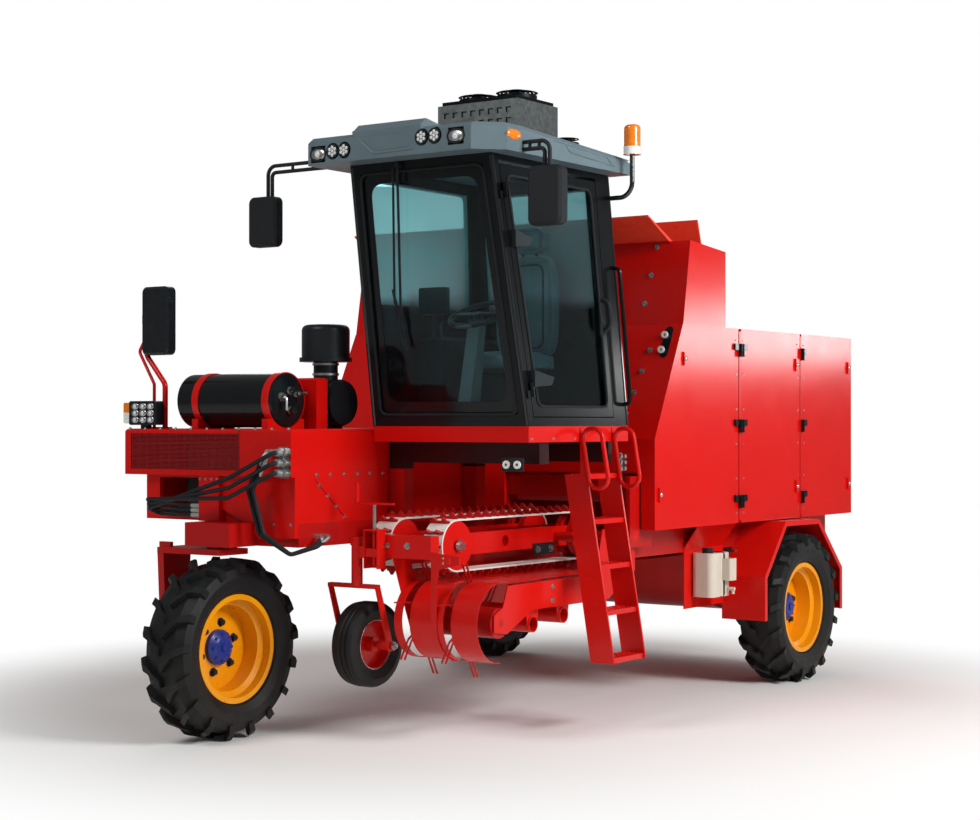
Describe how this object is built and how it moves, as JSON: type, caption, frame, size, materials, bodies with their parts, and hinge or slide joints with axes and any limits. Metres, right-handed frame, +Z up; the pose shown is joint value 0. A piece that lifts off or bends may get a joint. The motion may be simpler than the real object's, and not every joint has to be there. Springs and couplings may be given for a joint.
{
  "type": "self-propelled round baler",
  "caption": "Self-propelled round baler with a steered front wheel, cab beside the engine housing, offset tined pickup with toothed feed belts, hinged side doors and a rear tailgate.",
  "frame": {"origin": "on the ground at the bottom centre of the machine's overall box", "axes": "+X to the machine's left, +Y to its rear so that the front faces -Y, +Z up"},
  "size_m": [3.248, 5.848, 3.95],
  "materials": {
    "red_panel": "glossy red enamel",
    "frame_red": "red chassis paint",
    "rim_yellow": "golden yellow enamel with a blue hub",
    "tyre": "black field tyre",
    "black_paint": "satin black paint",
    "black_plastic": "black moulded plastic",
    "roof_grey": "grey moulded roof",
    "galvanised": "galvanised sheet",
    "steel": "bare steel sheet",
    "engine": "dark engine castings",
    "hose": "black hydraulic hose",
    "glass": "tinted cab glass",
    "seat_fabric": "dark seat cover",
    "lamp": "clear lamp lens",
    "amber": "amber beacon",
    "white_plastic": "white water tank",
    "belt": "black toothed belt"
  },
  "bodies": {
    "chassis": {"main_frame": "frame_red", "axle_left": "frame_red", "axle_right": "frame_red", "engine_block": "engine", "engine_housing": "red_panel", "radiator_grille": "black_paint", "air_tank": "black_paint", "tank_cradle": "frame_red", "air_cleaner": "black_plastic", "front_lamp": "lamp", "front_mirror": "black_plastic", "hydraulic_hoses": "hose", "cab_platform": "red_panel", "cab_frame": "black_paint", "cab_roof": "roof_grey", "windscreen": "glass", "right_window": "glass", "rear_window": "glass", "roof_unit": "galvanised", "roof_lamps": "lamp", "seat": "seat_fabric", "cab_controls": "black_plastic", "console": "black_plastic", "wiper": "black_paint", "left_mirror": "black_plastic", "right_mirror": "black_plastic", "beacon": "amber", "ladder": "frame_red", "box_shell": "red_panel", "tower": "red_panel", "bale_chamber": "steel", "fenders": "red_panel", "skirts": "red_panel", "wash_tank": "white_plastic"},
    "fork": {"front_fork": "frame_red"},
    "front_wheel": {"front_tyre": "tyre", "front_rim": "rim_yellow"},
    "rear_wheel_left": {"rear_tyre_left": "tyre", "rear_rim_left": "rim_yellow"},
    "rear_wheel_right": {"rear_tyre_right": "tyre", "rear_rim_right": "rim_yellow"},
    "driver_door": {"cab_door": "black_paint", "door_glass": "glass"},
    "rear_gate": {"tailgate": "red_panel"},
    "feeder": {"feeder_frame": "frame_red", "gauge_mount": "frame_red", "stripper_bands": "red_panel", "feed_belts": "belt", "belt_pulleys": "white_plastic"},
    "gauge_wheel": {"gauge_tyre": "tyre", "gauge_rim": "frame_red"},
    "pickup": {"pickup_drum": "frame_red"},
    "panel_front_door_left": {"front_door_left": "red_panel"},
    "panel_front_door_right": {"front_door_right": "red_panel"},
    "panel_middle_door_left": {"middle_door_left": "red_panel"},
    "panel_middle_door_right": {"middle_door_right": "red_panel"},
    "panel_rear_door_left": {"rear_door_left": "red_panel"},
    "panel_rear_door_right": {"rear_door_right": "red_panel"}
  },
  "joints": [
    {"name": "steering", "type": "hinge", "parent": "chassis", "child": "fork", "pos_m": [-0.413, -2.398, 1.2], "axis": [0, 0, 1], "range_deg": [-45, 45]},
    {"name": "front_wheel_spin", "type": "hinge", "parent": "fork", "child": "front_wheel", "pos_m": [-0.413, -2.398, 0.54], "axis": [1, 0, 0], "continuous": true},
    {"name": "rear_wheel_left_spin", "type": "hinge", "parent": "chassis", "child": "rear_wheel_left", "pos_m": [1.227, 1.872, 0.54], "axis": [1, 0, 0], "continuous": true},
    {"name": "rear_wheel_right_spin", "type": "hinge", "parent": "chassis", "child": "rear_wheel_right", "pos_m": [-1.453, 1.872, 0.54], "axis": [1, 0, 0], "continuous": true},
    {"name": "feeder_lift", "type": "hinge", "parent": "chassis", "child": "feeder", "pos_m": [0.687, -0.208, 1.152], "axis": [1, 0, 0], "range_deg": [0, 9]},
    {"name": "gauge_wheel_spin", "type": "hinge", "parent": "feeder", "child": "gauge_wheel", "pos_m": [0.247, -1.828, 0.552], "axis": [1, 0, 0], "continuous": true},
    {"name": "pickup_spin", "type": "hinge", "parent": "feeder", "child": "pickup", "pos_m": [0.727, -1.678, 0.715], "axis": [1, 0, 0], "continuous": true},
    {"name": "tailgate_lift", "type": "hinge", "parent": "chassis", "child": "rear_gate", "pos_m": [-0.113, 2.892, 2.5], "axis": [1, 0, 0], "range_deg": [0, 75]},
    {"name": "driver_door_hinge", "type": "hinge", "parent": "chassis", "child": "driver_door", "pos_m": [1.26481, -1.56195, 2.08], "axis": [0.0374, 0.187, -0.9817], "range_deg": [0, 72]},
    {"name": "front_door_left_hinge", "type": "hinge", "parent": "chassis", "child": "panel_front_door_left", "pos_m": [1.293, 1.003, 1.864], "axis": [0, 0, 1], "range_deg": [0, 90]},
    {"name": "front_door_right_hinge", "type": "hinge", "parent": "chassis", "child": "panel_front_door_right", "pos_m": [-1.519, 1.003, 1.864], "axis": [0, 0, -1], "range_deg": [0, 90]},
    {"name": "middle_door_left_hinge", "type": "hinge", "parent": "chassis", "child": "panel_middle_door_left", "pos_m": [1.293, 1.035, 1.864], "axis": [0, 0, -1], "range_deg": [0, 90]},
    {"name": "middle_door_right_hinge", "type": "hinge", "parent": "chassis", "child": "panel_middle_door_right", "pos_m": [-1.519, 1.035, 1.864], "axis": [0, 0, 1], "range_deg": [0, 90]},
    {"name": "rear_door_left_hinge", "type": "hinge", "parent": "chassis", "child": "panel_rear_door_left", "pos_m": [1.293, 1.99, 1.864], "axis": [0, 0, -1], "range_deg": [0, 90]},
    {"name": "rear_door_right_hinge", "type": "hinge", "parent": "chassis", "child": "panel_rear_door_right", "pos_m": [-1.519, 1.99, 1.864], "axis": [0, 0, 1], "range_deg": [0, 90]}
  ]
}
